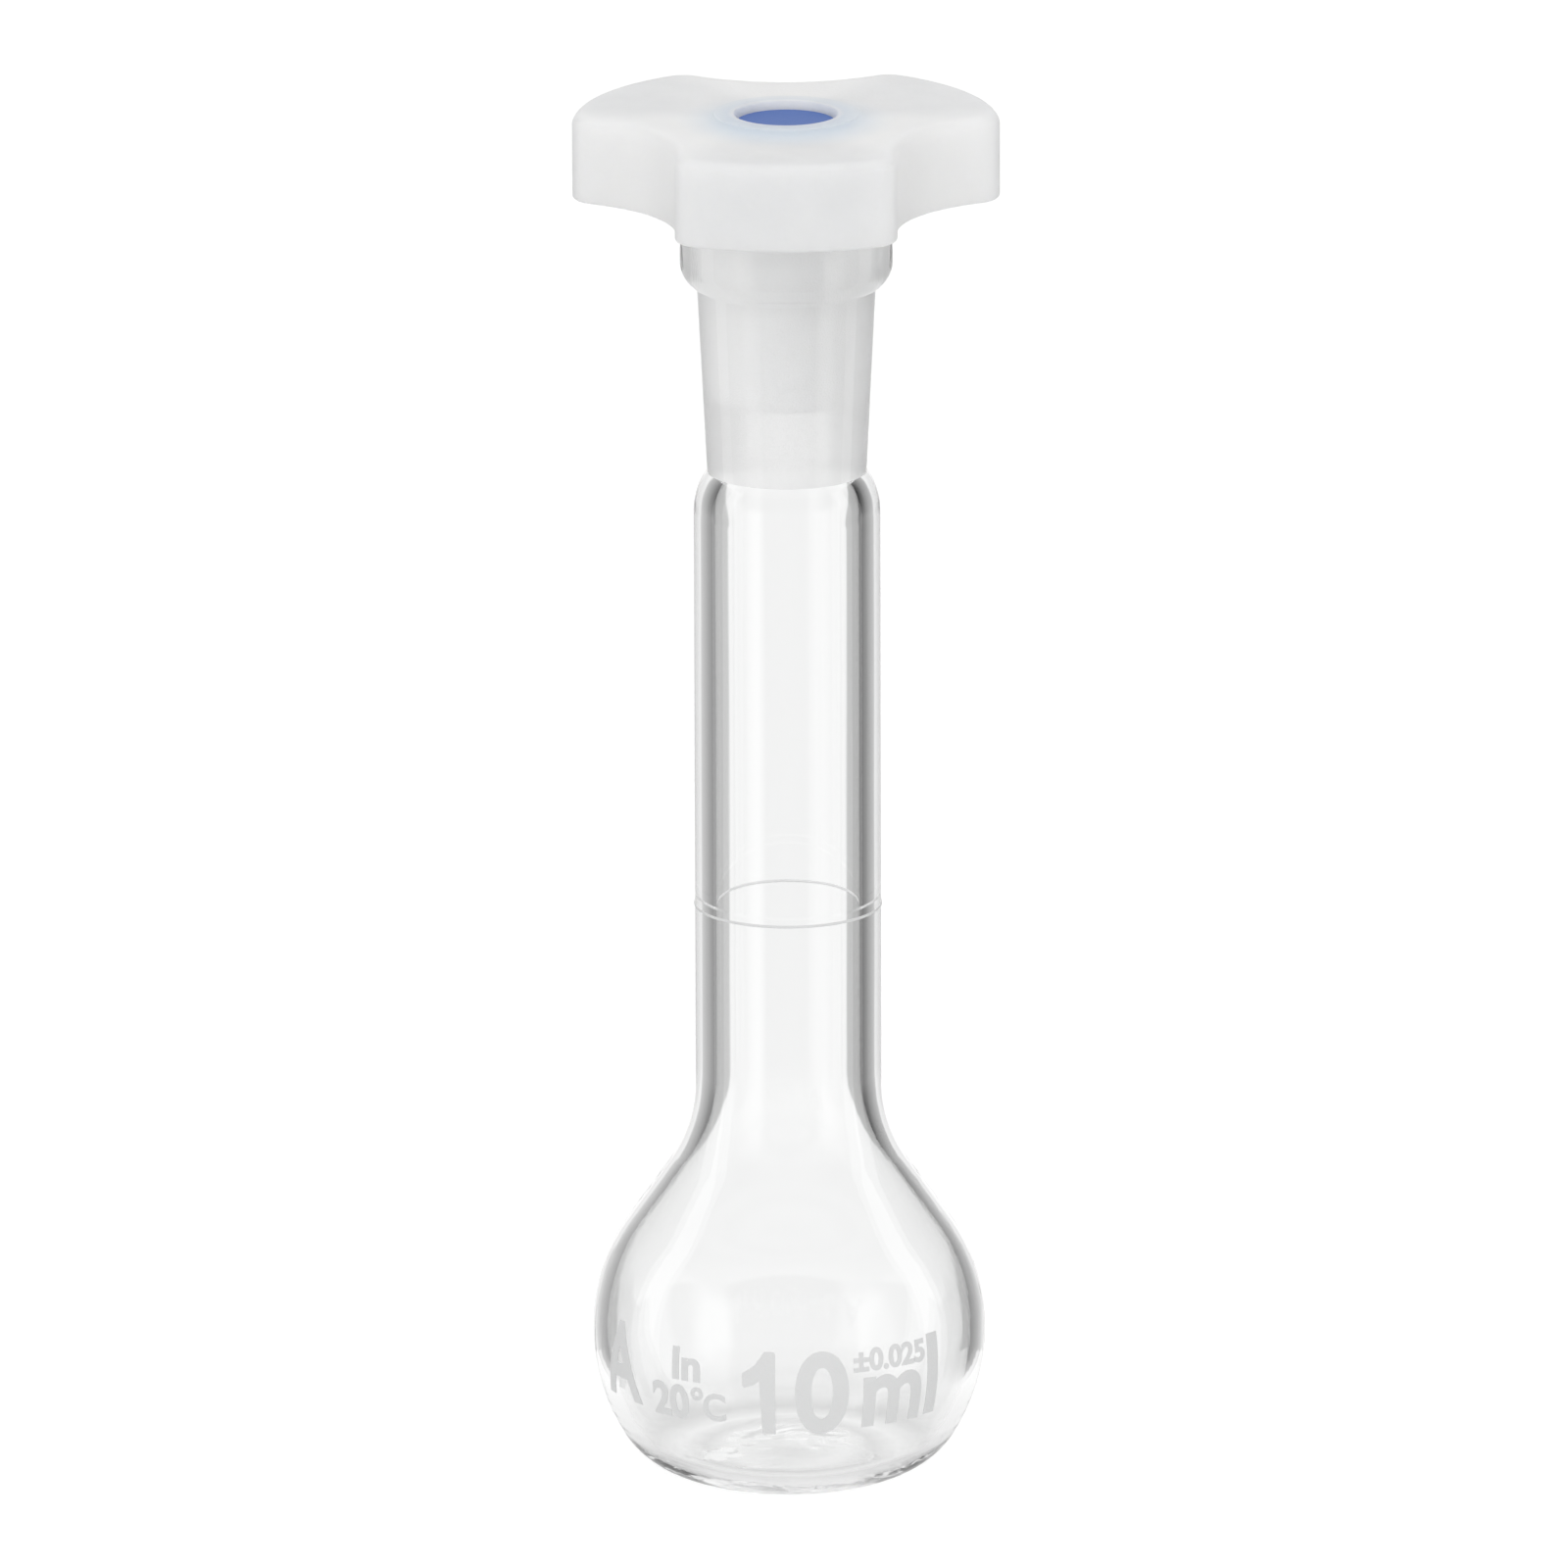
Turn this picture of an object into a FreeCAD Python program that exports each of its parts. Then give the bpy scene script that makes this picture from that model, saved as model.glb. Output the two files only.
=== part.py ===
import FreeCAD, Part
import math
import os

# A ten millilitre volumetric flask with a ground tapered socket and a lobed hollow stopper.
# Sizes are millimetres and angles are degrees. Z is the axis of the flask, which stands on z = 0.

# Bulb and base of the glass
bulb_diameter = 27.7
bulb_wall = 1.02
heel_radius = 6.1
heel_angle = 31.5
base_thickness = 1.3
push_up_radius = 5.0
push_up_height = 0.5

# Neck of the glass
neck_diameter = 13.1
neck_wall = 1.5
neck_foot_radius = 9.75
cone_angle = 35.0

# Ground socket and rim of the glass
rim_height = 91.1
mouth_diameter = 10.0
joint_taper = 0.1
ground_length = 19.0
socket_wall = 1.53
shoulder_height = 3.0
shoulder_lag = 0.5
bore_shoulder_height = 2.5
bead_diameter = 14.9
bead_height = 5.3
bead_shoulder_height = 1.85
rim_round = 0.9
lip_chamfer = 0.3

# Enamel graduation line round the neck
graduation_height = 41.2
graduation_width = 0.2
enamel_thickness = 0.06

# Hollow plug of the stopper
joint_clearance = 0.05
plug_depth = 13.3
plug_wall = 1.2
plug_end_chamfer = 0.4
septum = 1.2

# Lobed head of the stopper
head_gap = 0.8
head_height = 6.15
head_diameter = 29.9
head_wall = 1.7
head_skin = 1.6
lobe_count = 3
front_lobe_angle = -90
valley_radius = 10.5
scoop_radius = 10.5
lobe_corner_radius = 2.2
core_corner_radius = 0.8
head_top_round = 0.8
head_bottom_round = 0.35

# Raised ring and well in the top of the head, and the coloured disc in the well
ring_diameter = 10.8
ring_height = 0.2
ring_slope = 0.3
well_diameter = 7.2
insert_clearance = 0.05
insert_thickness = 1.6
insert_recess = 0.6
insert_chamfer = 0.15

# Places that follow from the sizes above
neck_radius = neck_diameter / 2
bulb_radius = bulb_diameter / 2
heel_sine = math.sin(math.radians(heel_angle))
bulb_height = heel_radius + (bulb_radius - heel_radius) * heel_sine
ground_foot_height = rim_height - ground_length
plug_end = rim_height - plug_depth
head_bottom = rim_height + head_gap
head_top = head_bottom + head_height
ring_top = head_top + ring_height
well_radius = well_diameter / 2
well_floor = ring_top - insert_recess - insert_thickness

axis_point = (0, 0)
up = FreeCAD.Vector(0, 0, 1)
full_turn = 360


# Outlines: a point is a pair, of radius and height in a half section or of x and y in a flat shape

def at(radius, height):
    return FreeCAD.Vector(radius, 0, height)


def lines(*stops):
    """Straight edges from each stop to the next."""
    return [Part.LineSegment(at(*a), at(*b)).toShape() for a, b in zip(stops, stops[1:])]


def on_circle(centre, radius, angle):
    turn = math.radians(angle)
    return (centre[0] + radius * math.cos(turn), centre[1] + radius * math.sin(turn))


def toward(start, target, distance):
    """The point at a distance from the start, on the way to the target."""
    share = distance / math.dist(start, target)
    return (start[0] + (target[0] - start[0]) * share, start[1] + (target[1] - start[1]) * share)


def arc(centre, radius, first_angle, last_angle):
    angles = (first_angle, (first_angle + last_angle) / 2, last_angle)
    return Part.Arc(*[at(*on_circle(centre, radius, angle)) for angle in angles]).toShape()


def upright_arc(upright_end, far_end):
    """An arc that runs straight up or down at its first end and bends over to its far end."""
    inward = upright_end[0] - far_end[0]
    rise = far_end[1] - upright_end[1]
    radius = (inward**2 + rise**2) / (2 * inward)
    centre = (upright_end[0] - radius, upright_end[1])
    return arc(centre, radius, 0, math.degrees(math.asin(rise / radius)))


def dome_arc(edge, crown_height):
    """The half section of a shallow dome, from its edge up to its crown on the axis."""
    rise = crown_height - edge[1]
    radius = (edge[0] ** 2 + rise**2) / (2 * rise)
    edge_angle = math.degrees(math.acos(edge[0] / radius))
    return arc((0, crown_height - radius), radius, edge_angle, 90)


def turned(outline):
    section = Part.Face(Part.Wire(Part.__sortEdges__(outline)))
    return section.revolve(at(*axis_point), up, full_turn)


# Glass flask

def joint_radius(height):
    """Radius of the ground taper at a height."""
    return mouth_diameter / 2 - (rim_height - height) * joint_taper / 2


def heel_foot(bulb, heel):
    """Radius at which a heel curve meets the floor under it."""
    return (bulb - heel) * math.cos(math.radians(heel_angle))


def vessel_outline(bulb, heel, neck, foot, top):
    """Heel, bulb, cone and neck as one smooth line, from the floor up to a height in the neck."""
    bulb_centre = (0, bulb_height)
    heel_centre = on_circle(bulb_centre, bulb - heel, -heel_angle)
    slope = math.radians(cone_angle)
    reach = bulb + foot - math.cos(slope) * (neck + foot)
    foot_centre = (neck + foot, bulb_height + reach / math.sin(slope))
    cone_start = on_circle(bulb_centre, bulb, cone_angle)
    cone_end = on_circle(foot_centre, foot, 180 + cone_angle)
    return [
        arc(heel_centre, heel, -90, -heel_angle),
        arc(bulb_centre, bulb, -heel_angle, cone_angle),
        *lines(cone_start, cone_end),
        arc(foot_centre, foot, 180 + cone_angle, 180),
        *lines((neck, foot_centre[1]), (neck, top)),
    ]


def glass_outside():
    standing_radius = heel_foot(bulb_radius, heel_radius)
    shoulder_top = ground_foot_height + shoulder_lag
    neck_top = shoulder_top - shoulder_height
    socket_foot = (joint_radius(shoulder_top) + socket_wall, shoulder_top)
    bead_bottom = rim_height - bead_height
    bead_foot = (joint_radius(bead_bottom) + socket_wall, bead_bottom)
    bead_radius = bead_diameter / 2
    bead_side = (bead_radius, bead_bottom + bead_shoulder_height)
    rim_side = (bead_radius, rim_height - rim_round)
    rim_edge = (bead_radius - rim_round, rim_height)
    return turned(
        [
            dome_arc((push_up_radius, 0), push_up_height),
            *lines((push_up_radius, 0), (standing_radius, 0)),
            *vessel_outline(bulb_radius, heel_radius, neck_radius, neck_foot_radius, neck_top),
            upright_arc((neck_radius, neck_top), socket_foot),
            *lines(socket_foot, bead_foot),
            upright_arc(bead_side, bead_foot),
            *lines(bead_side, rim_side),
            arc((rim_edge[0], rim_side[1]), rim_round, 0, 90),
            *lines(rim_edge, (0, rim_height), (0, push_up_height)),
        ]
    )


def glass_inside():
    bulb = bulb_radius - bulb_wall
    heel = (bulb_height - bulb * heel_sine - base_thickness) / (1 - heel_sine)
    crown = base_thickness + push_up_height
    bore_radius = neck_radius - neck_wall
    foot = neck_foot_radius + neck_wall
    bore_top = ground_foot_height - bore_shoulder_height
    ground_foot = (joint_radius(ground_foot_height), ground_foot_height)
    ground_top = (joint_radius(rim_height - lip_chamfer), rim_height - lip_chamfer)
    lip = (ground_top[0] + lip_chamfer, rim_height)
    return turned(
        [
            dome_arc((heel_foot(bulb, heel), base_thickness), crown),
            *vessel_outline(bulb, heel, bore_radius, foot, bore_top),
            upright_arc((bore_radius, bore_top), ground_foot),
            *lines(ground_foot, ground_top, lip, (0, rim_height), (0, crown)),
        ]
    )


def make_glass_flask():
    return glass_outside().cut(glass_inside())


def make_graduation_ring():
    bottom = at(0, graduation_height - graduation_width / 2)
    band = Part.makeCylinder(neck_radius + enamel_thickness, graduation_width, bottom)
    return band.cut(Part.makeCylinder(neck_radius, graduation_width, bottom))


def capacity():
    """Millilitres that the glass holds up to the graduation line."""
    below_line = Part.makeCylinder(bulb_diameter, graduation_height)
    return glass_inside().common(below_line).Volume / 1000


# Stopper and its coloured disc

def flat_arc(first, middle, last, height):
    return Part.Arc(*[FreeCAD.Vector(x, y, height) for x, y in (first, middle, last)]).toShape()


def corner_arc(centre, first, last, height):
    """The short arc about a centre between two points at the same distance from it."""
    chord_middle = ((first[0] + last[0]) / 2, (first[1] + last[1]) / 2)
    return flat_arc(first, toward(centre, chord_middle, math.dist(centre, first)), last, height)


def lobed_face(disc, scoop, corner, height):
    """A flat disc with a round scoop between each two lobes, and rounded lobe corners."""
    scoop_distance = valley_radius + scoop_radius
    corner_distance = disc - corner
    cosine = corner_distance**2 + scoop_distance**2 - (scoop + corner) ** 2
    corner_angle = math.degrees(math.acos(cosine / (2 * corner_distance * scoop_distance)))
    step = full_turn / lobe_count
    edges = []
    for index in range(lobe_count):
        lobe = front_lobe_angle + step * index
        valley = lobe + step / 2
        scoop_centre = on_circle(axis_point, scoop_distance, valley)
        scoop_floor = on_circle(axis_point, scoop_distance - scoop, valley)
        lobe_start = on_circle(axis_point, disc, valley - step + corner_angle)
        lobe_tip = on_circle(axis_point, disc, lobe)
        before = on_circle(axis_point, corner_distance, valley - corner_angle)
        after = on_circle(axis_point, corner_distance, valley + corner_angle)
        lobe_end, next_lobe_start = (toward(axis_point, corner_at, disc) for corner_at in (before, after))
        scoop_start, scoop_end = (toward(scoop_centre, corner_at, scoop) for corner_at in (before, after))
        edges += [
            flat_arc(lobe_start, lobe_tip, lobe_end, height),
            corner_arc(before, lobe_end, scoop_start, height),
            flat_arc(scoop_start, scoop_floor, scoop_end, height),
            corner_arc(after, scoop_end, next_lobe_start, height),
        ]
    return Part.Face(Part.Wire(edges))


def edges_at(solid, height):
    """The edges of a solid that lie flat at a height."""
    reach = 1e-6
    return [e for e in solid.Edges if all(abs(vertex.Z - height) < reach for vertex in e.Vertexes)]


def make_head():
    """The lobed head, open underneath, with a skin on top and a wall all round."""
    outline = lobed_face(head_diameter / 2, scoop_radius, lobe_corner_radius, head_bottom)
    blank = outline.extrude(up * head_height)
    blank = blank.makeFillet(head_top_round, edges_at(blank, head_top))
    blank = blank.makeFillet(head_bottom_round, edges_at(blank, head_bottom))
    inner_disc = head_diameter / 2 - head_wall
    core = lobed_face(inner_disc, scoop_radius + head_wall, core_corner_radius, head_bottom)
    return blank.cut(core.extrude(up * (head_height - head_skin)))


def plug_radius(height):
    return joint_radius(height) - joint_clearance


def make_plug():
    """The tapered plug, carried up through the head to its top."""
    taper_start = plug_end + plug_end_chamfer
    return turned(
        lines(
            (0, plug_end),
            (plug_radius(plug_end) - plug_end_chamfer, plug_end),
            (plug_radius(taper_start), taper_start),
            (plug_radius(head_top), head_top),
            (0, head_top),
            (0, plug_end),
        )
    )


def make_plug_hollow():
    top = well_floor - septum
    end_radius = plug_radius(plug_end) - plug_wall
    return Part.makeCone(end_radius, plug_radius(top) - plug_wall, top - plug_end, at(0, plug_end))


def make_stopper():
    ring_radius = ring_diameter / 2
    ring = Part.makeCone(ring_radius, ring_radius - ring_slope, ring_height, at(0, head_top))
    well = Part.makeCylinder(well_radius, ring_top - well_floor, at(0, well_floor))
    solid = make_head().fuse([make_plug(), ring])
    return solid.cut([make_plug_hollow(), well]).removeSplitter()


def make_colour_insert():
    disc = Part.makeCylinder(well_radius - insert_clearance, insert_thickness, at(0, well_floor))
    return disc.makeChamfer(insert_chamfer, edges_at(disc, well_floor + insert_thickness))


# Build and save the pieces

pieces = {
    "glass_flask": make_glass_flask(),
    "graduation_ring": make_graduation_ring(),
    "stopper": make_stopper(),
    "colour_insert": make_colour_insert(),
}
os.makedirs("parts", exist_ok=True)
for name, shape in pieces.items():
    shape.exportStep(f"parts/{name}.step")
    print(name, len(shape.Solids), "solid", shape.isValid(), round(shape.Volume, 2), "cubic mm")
print("millilitres up to the line", round(capacity(), 3))
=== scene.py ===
import math

import bmesh
import bpy
from mathutils import Euler, Matrix, Vector, noise as wave


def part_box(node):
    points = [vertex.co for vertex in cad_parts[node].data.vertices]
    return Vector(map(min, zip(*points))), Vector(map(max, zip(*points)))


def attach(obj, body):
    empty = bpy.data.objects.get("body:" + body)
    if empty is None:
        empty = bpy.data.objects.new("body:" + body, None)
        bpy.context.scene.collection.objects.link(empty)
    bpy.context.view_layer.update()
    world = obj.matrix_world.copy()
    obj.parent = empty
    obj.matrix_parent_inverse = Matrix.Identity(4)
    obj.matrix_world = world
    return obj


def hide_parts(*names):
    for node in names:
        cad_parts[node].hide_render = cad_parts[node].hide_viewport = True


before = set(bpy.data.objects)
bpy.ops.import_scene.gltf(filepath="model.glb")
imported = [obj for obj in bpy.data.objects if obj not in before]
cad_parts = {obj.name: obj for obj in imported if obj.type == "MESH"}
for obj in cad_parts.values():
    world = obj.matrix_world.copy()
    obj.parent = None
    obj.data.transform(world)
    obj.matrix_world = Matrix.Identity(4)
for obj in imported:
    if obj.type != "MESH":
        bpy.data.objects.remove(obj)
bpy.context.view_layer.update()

# A ten millilitre volumetric flask of clear blown glass, with enamel marks and a lobed stopper.
# Lengths are metres. Z is the axis of the flask, which stands on z = 0, and -Y is its front.

bl_info = {
    "name": "Volumetric flask",
    "version": (1, 0, 0),
    "blender": (4, 5, 0),
    "location": "View3D > Sidebar > Flask",
    "description": "Builds a small volumetric flask with its enamel marks, stopper and studio stage",
    "category": "Object",
}

MM = 0.001
FULL_TURN = 2 * math.pi
FRONT = -math.pi / 2

# How finely round shapes are drawn
GLASS_SEGMENTS = 192
ARC_STEP = math.radians(4)
LINE_STEP = 1.5 * MM
CREASE_ANGLE = math.radians(28)
LINE_CROWN_STEPS = 8
DISC_SEGMENTS = 96
SCREEN_STEPS = 48

# Points closer than this are one point
SAME_PLACE = 1e-7

glass_low, glass_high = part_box("glass_flask")
line_low, line_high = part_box("graduation_ring")
head_low, head_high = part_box("stopper")
disc_low, disc_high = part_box("colour_insert")


# Settings that a user would change

def length(name, description, default):
    return bpy.props.FloatProperty(
        name=name, description=description, default=default, precision=5, subtype="DISTANCE", unit="LENGTH"
    )


def angle(name, description, default):
    return bpy.props.FloatProperty(
        name=name, description=description, default=math.radians(default), subtype="ANGLE", unit="ROTATION"
    )


def share(name, description, default):
    return bpy.props.FloatProperty(
        name=name, description=description, default=default, min=0.0, max=1.0, subtype="FACTOR"
    )


def colour(name, description, default):
    return bpy.props.FloatVectorProperty(
        name=name, description=description, default=default, min=0.0, max=1.0, size=3, subtype="COLOR"
    )


class FlaskGlass(bpy.types.PropertyGroup):
    """Sizes and finish of the blown glass."""

    bulb_diameter: length("Bulb diameter", "Outside of the bulb at its widest", glass_high.x - glass_low.x)
    bulb_wall: length("Bulb wall", "Glass thickness of the bulb", 1.02 * MM)
    heel_radius: length("Heel radius", "Rounding between the bulb and the base", 6.1 * MM)
    heel_angle: angle("Heel angle", "Angle under the middle of the bulb at which the heel starts", 31.5)
    base_thickness: length("Base thickness", "Glass thickness of the base", 1.3 * MM)
    push_up_radius: length("Push-up radius", "Radius of the hollow under the base", 5.0 * MM)
    push_up_height: length("Push-up height", "Height of the hollow under the base", 0.5 * MM)
    neck_diameter: length("Neck diameter", "Outside of the neck", 13.1 * MM)
    neck_wall: length("Neck wall", "Glass thickness of the neck", 1.5 * MM)
    neck_foot_radius: length("Neck foot radius", "Rounding where the neck meets the bulb", 9.75 * MM)
    cone_angle: angle("Cone angle", "Slope of the short cone between bulb and neck", 35.0)
    rim_height: length("Rim height", "Height of the rim", glass_high.z - glass_low.z)
    mouth_diameter: length("Mouth diameter", "Inside of the ground socket at the rim", 10.0 * MM)
    joint_taper: share("Joint taper", "Change of the socket's diameter with height", 0.1)
    ground_length: length("Ground length", "Length of the ground taper of the socket", 19.0 * MM)
    socket_wall: length("Socket wall", "Glass thickness of the socket", 1.53 * MM)
    shoulder_height: length("Shoulder height", "Height of the shoulder, outside", 3.0 * MM)
    shoulder_lag: length("Shoulder lag", "How far the shoulder ends above the ground part", 0.5 * MM)
    bore_shoulder_height: length("Bore shoulder height", "Height of the shoulder, inside", 2.5 * MM)
    bead_diameter: length("Bead diameter", "Outside of the bead at the rim", 14.9 * MM)
    bead_height: length("Bead height", "Height of the bead", 5.3 * MM)
    bead_shoulder_height: length("Bead shoulder height", "Height of the bead's lower rounding", 1.85 * MM)
    rim_round: length("Rim rounding", "Rounding of the outer rim", 0.9 * MM)
    lip_chamfer: length("Lip chamfer", "Chamfer at the top of the ground part", 0.3 * MM)
    tint: colour("Glass tint", "Colour of the clear glass", (0.994, 0.996, 0.995))
    ground_roughness: share("Ground roughness", "Roughness of the ground part of the socket", 0.5)


class FlaskEnamel(bpy.types.PropertyGroup):
    """Sizes and finish of the fired enamel, and the glow painted on the line's inner side."""

    line_height: length("Line height", "Height of the graduation line", (line_low.z + line_high.z) / 2)
    line_width: length("Line width", "Width of the graduation line", line_high.z - line_low.z)
    line_thickness: length("Line thickness", "How far the line stands proud of the neck", 0.06 * MM)
    print_thickness: length("Print thickness", "How far the print stands proud of the bulb", 0.03 * MM)
    tint: colour("Enamel colour", "Colour of the fired enamel", (0.785, 0.79, 0.79))
    # Painted light: the line's inner side, seen through the glass, glows by this much in place of the
    # light that falls there
    painted_line_light: share("Line glow", "Light from the glass on the inner side of the line", 0.32)


class FlaskStopper(bpy.types.PropertyGroup):
    """Sizes and finish of the stopper and its coloured disc, and the light painted on its plastic."""

    joint_clearance: length("Joint clearance", "Gap between the plug and the socket", 0.05 * MM)
    plug_depth: length("Plug depth", "How far the plug reaches into the socket", 13.3 * MM)
    plug_wall: length("Plug wall", "Thickness of the hollow plug", 1.2 * MM)
    plug_end_round: length("Plug end rounding", "Rounding at the end of the plug", 0.4 * MM)
    septum: length("Septum", "Thickness between the well and the hollow plug", 1.2 * MM)
    head_gap: length("Head gap", "Height of the head over the rim", 0.8 * MM)
    head_height: length("Head height", "Height of the head", 6.15 * MM)
    head_diameter: length("Head diameter", "Diameter round the lobes", 29.9 * MM)
    head_wall: length("Head wall", "Wall round the head, which is open underneath", 1.7 * MM)
    head_skin: length("Head skin", "Thickness of the top of the head", 1.6 * MM)
    valley_radius: length("Valley radius", "Distance of the scoops from the axis", 10.5 * MM)
    scoop_radius: length("Scoop radius", "Radius of the scoop between two lobes", 10.5 * MM)
    lobe_corner_radius: length("Lobe corner radius", "Rounding of the lobes' corners", 2.2 * MM)
    core_corner_radius: length("Core corner radius", "Rounding of the corners inside the head", 0.8 * MM)
    top_round: length("Top rounding", "Rounding of the top edge of the head", 0.8 * MM)
    bottom_round: length("Bottom rounding", "Rounding of the bottom edge of the head", 0.35 * MM)
    ring_diameter: length("Ring diameter", "Outside of the raised ring", 10.8 * MM)
    ring_height: length("Ring height", "Height of the raised ring", 0.2 * MM)
    ring_slope: length("Ring slope", "How far the side of the ring leans in", 0.3 * MM)
    well_diameter: length("Well diameter", "Diameter of the well for the disc", 7.2 * MM)
    insert_clearance: length("Disc clearance", "Gap round the coloured disc", 0.05 * MM)
    insert_thickness: length("Disc thickness", "Thickness of the coloured disc", disc_high.z - disc_low.z)
    insert_recess: length("Disc recess", "How far the disc lies under the ring", head_high.z - disc_high.z)
    lobe_count: bpy.props.IntProperty(name="Lobes", description="Lobes of the head", default=3, min=2)
    # Painted light: moves the blue light painted round the well towards the front lobe
    painted_light_shift: length("Glow shift", "How far towards the front lobe the disc shines through", 1.7 * MM)
    plastic_tint: colour("Plastic colour", "Colour of the natural polyethylene", (0.83, 0.835, 0.84))
    cloud_tint: colour("Cloud colour", "Colour of the polyethylene's thin clouds", (0.79, 0.795, 0.8))
    # Painted light: the lighter colour painted in the scoops, for light through the thin walls between the
    # lobes
    painted_scoop_tint: colour("Thin wall colour", "Colour of the walls between the lobes", (0.94, 0.943, 0.945))
    # Painted light: the colour painted round the well for the disc's light through the milky top
    painted_light_tint: colour("Glow colour", "Colour where the disc shines through", (0.69, 0.76, 0.85))
    disc_tint: colour("Disc colour", "Colour of the disc", (0.1, 0.19, 0.52))


class FlaskStage(bpy.types.PropertyGroup):
    """Camera and light."""

    camera_distance: length("Camera distance", "From the camera to the middle of the flask", 1.7)
    camera_elevation: angle("Camera elevation", "Height of the camera over the horizon", 15.4)
    camera_roll: angle("Camera roll", "Turn of the camera about its own axis", -0.16)
    target_height: length("Target height", "Height on the axis that the camera looks at", 50 * MM)
    frame_width: length("Frame width", "Width of the picture at the flask", 109.97 * MM)
    ambient: share("Ambient light", "Light from all round that falls on surfaces", 0.62)


# Outlines: a point is a pair, of radius and height in a half section

def on_circle(centre, radius, turn):
    return (centre[0] + radius * math.cos(turn), centre[1] + radius * math.sin(turn))


def arc(centre, radius, first, last):
    """Points along an arc, from its first angle to its last."""
    steps = max(3, math.ceil(abs(last - first) / ARC_STEP))
    return [on_circle(centre, radius, first + (last - first) * step / steps) for step in range(steps + 1)]


def line(start, end, pitch=LINE_STEP):
    """Points along a straight run."""
    steps = max(1, math.ceil(math.dist(start, end) / pitch))
    spread = [step / steps for step in range(steps + 1)]
    return [(start[0] + (end[0] - start[0]) * s, start[1] + (end[1] - start[1]) * s) for s in spread]


def upright_arc(upright_end, far_end):
    """An arc that runs straight up or down at its first end and bends over to its far end."""
    inward = upright_end[0] - far_end[0]
    rise = far_end[1] - upright_end[1]
    radius = (inward**2 + rise**2) / (2 * inward)
    return arc((upright_end[0] - radius, upright_end[1]), radius, 0, math.asin(rise / radius))


def dome_arc(edge, crown_height):
    """The half section of a shallow dome, from its edge up to its crown on the axis."""
    rise = crown_height - edge[1]
    radius = (edge[0] ** 2 + rise**2) / (2 * rise)
    return arc((0, crown_height - radius), radius, math.acos(edge[0] / radius), math.pi / 2)


def joined(*runs):
    """One outline from runs that meet end to end."""
    points = [point for run in runs for point in run]
    kept = points[:1]
    for point in points[1:]:
        if math.dist(point, kept[-1]) > SAME_PLACE:
            kept.append(point)
    return kept


# Meshes

def new_object(name, data):
    """An object in the scene that shows a mesh, a lamp, a camera or letters."""
    made = bpy.data.objects.new(name, data)
    bpy.context.scene.collection.objects.link(made)
    return made


def mesh_object(name, shape):
    mesh = bpy.data.meshes.new(name)
    shape.to_mesh(mesh)
    shape.free()
    return new_object(name, mesh)


def skin(name, rings, body, replaced=None):
    """A closed piece through rings of points, riding on a body; a ring of one point is a pole."""
    shape = bmesh.new()
    made = [[shape.verts.new(point) for point in ring] for ring in rings]
    for lower, upper in zip(made, made[1:]):
        count = max(len(lower), len(upper))
        for index in range(count):
            after = (index + 1) % count
            corners = (
                lower[index % len(lower)],
                lower[after % len(lower)],
                upper[after % len(upper)],
                upper[index % len(upper)],
            )
            shape.faces.new(dict.fromkeys(corners)).smooth = True
    return finished(name, shape, body, replaced)


def finished(name, shape, body, replaced=None):
    """Turns a shape into a named piece that rides on a body."""
    piece = mesh_object(name, shape)
    piece.data.set_sharp_from_angle(angle=CREASE_ANGLE)
    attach(piece, body)
    if replaced:
        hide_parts(replaced)
    return piece


def round_ring(radius, height, turns):
    if radius < SAME_PLACE:
        return [Vector((0, 0, height))]
    return [Vector((radius * math.cos(turn), radius * math.sin(turn), height)) for turn in turns]


def even_turns(count):
    return [FRONT + FULL_TURN * index / count for index in range(count)]


def turned(outline, turns):
    """Rings of a body of revolution."""
    return [round_ring(radius, height, turns) for radius, height in outline]


# Materials

def new_material(name):
    """A material with one principled shader, and short ways to add nodes and links to it."""
    material = bpy.data.materials.new(name)
    material.use_nodes = True
    tree = material.node_tree
    return material, tree.nodes, tree.links, tree.nodes["Principled BSDF"]


def math_of(nodes, links, operation, first, second):
    """A math node on two values, each a number or another node's output."""
    node = nodes.new("ShaderNodeMath")
    node.operation = operation
    for socket, value in zip(node.inputs, (first, second)):
        if isinstance(value, (int, float)):
            socket.default_value = value
        else:
            links.new(value, socket)
    return node.outputs["Value"]


def ramp_of(nodes, links, value, from_low, from_high, to_low, to_high, smooth=False):
    """A value spread from one range to another, and held at its ends."""
    node = nodes.new("ShaderNodeMapRange")
    node.interpolation_type = "SMOOTHSTEP" if smooth else "LINEAR"
    node.inputs["From Min"].default_value = from_low
    node.inputs["From Max"].default_value = from_high
    node.inputs["To Min"].default_value = to_low
    node.inputs["To Max"].default_value = to_high
    links.new(value, node.inputs["Value"])
    return node.outputs["Result"]


def noise(nodes, links, scale, detail, low, high, stretch=1):
    """Noise in the piece's own coordinates, spread between two values.

    Scale is the size of its grains, and stretch draws them out along the axis of the flask.
    """
    place = nodes.new("ShaderNodeTexCoord")
    drawn = nodes.new("ShaderNodeMapping")
    drawn.inputs["Scale"].default_value = (1, 1, 1 / stretch)
    texture = nodes.new("ShaderNodeTexNoise")
    texture.inputs["Scale"].default_value = 1 / scale
    texture.inputs["Detail"].default_value = detail
    links.new(place.outputs["Object"], drawn.inputs["Vector"])
    links.new(drawn.outputs["Vector"], texture.inputs["Vector"])
    return ramp_of(nodes, links, texture.outputs["Fac"], 0.3, 0.7, low, high)


def own_place(nodes, links):
    """The three coordinates of a place on a piece, in the piece's own axes."""
    place = nodes.new("ShaderNodeTexCoord")
    split = nodes.new("ShaderNodeSeparateXYZ")
    links.new(place.outputs["Object"], split.inputs["Vector"])
    return [split.outputs[side] for side in "XYZ"]


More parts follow.
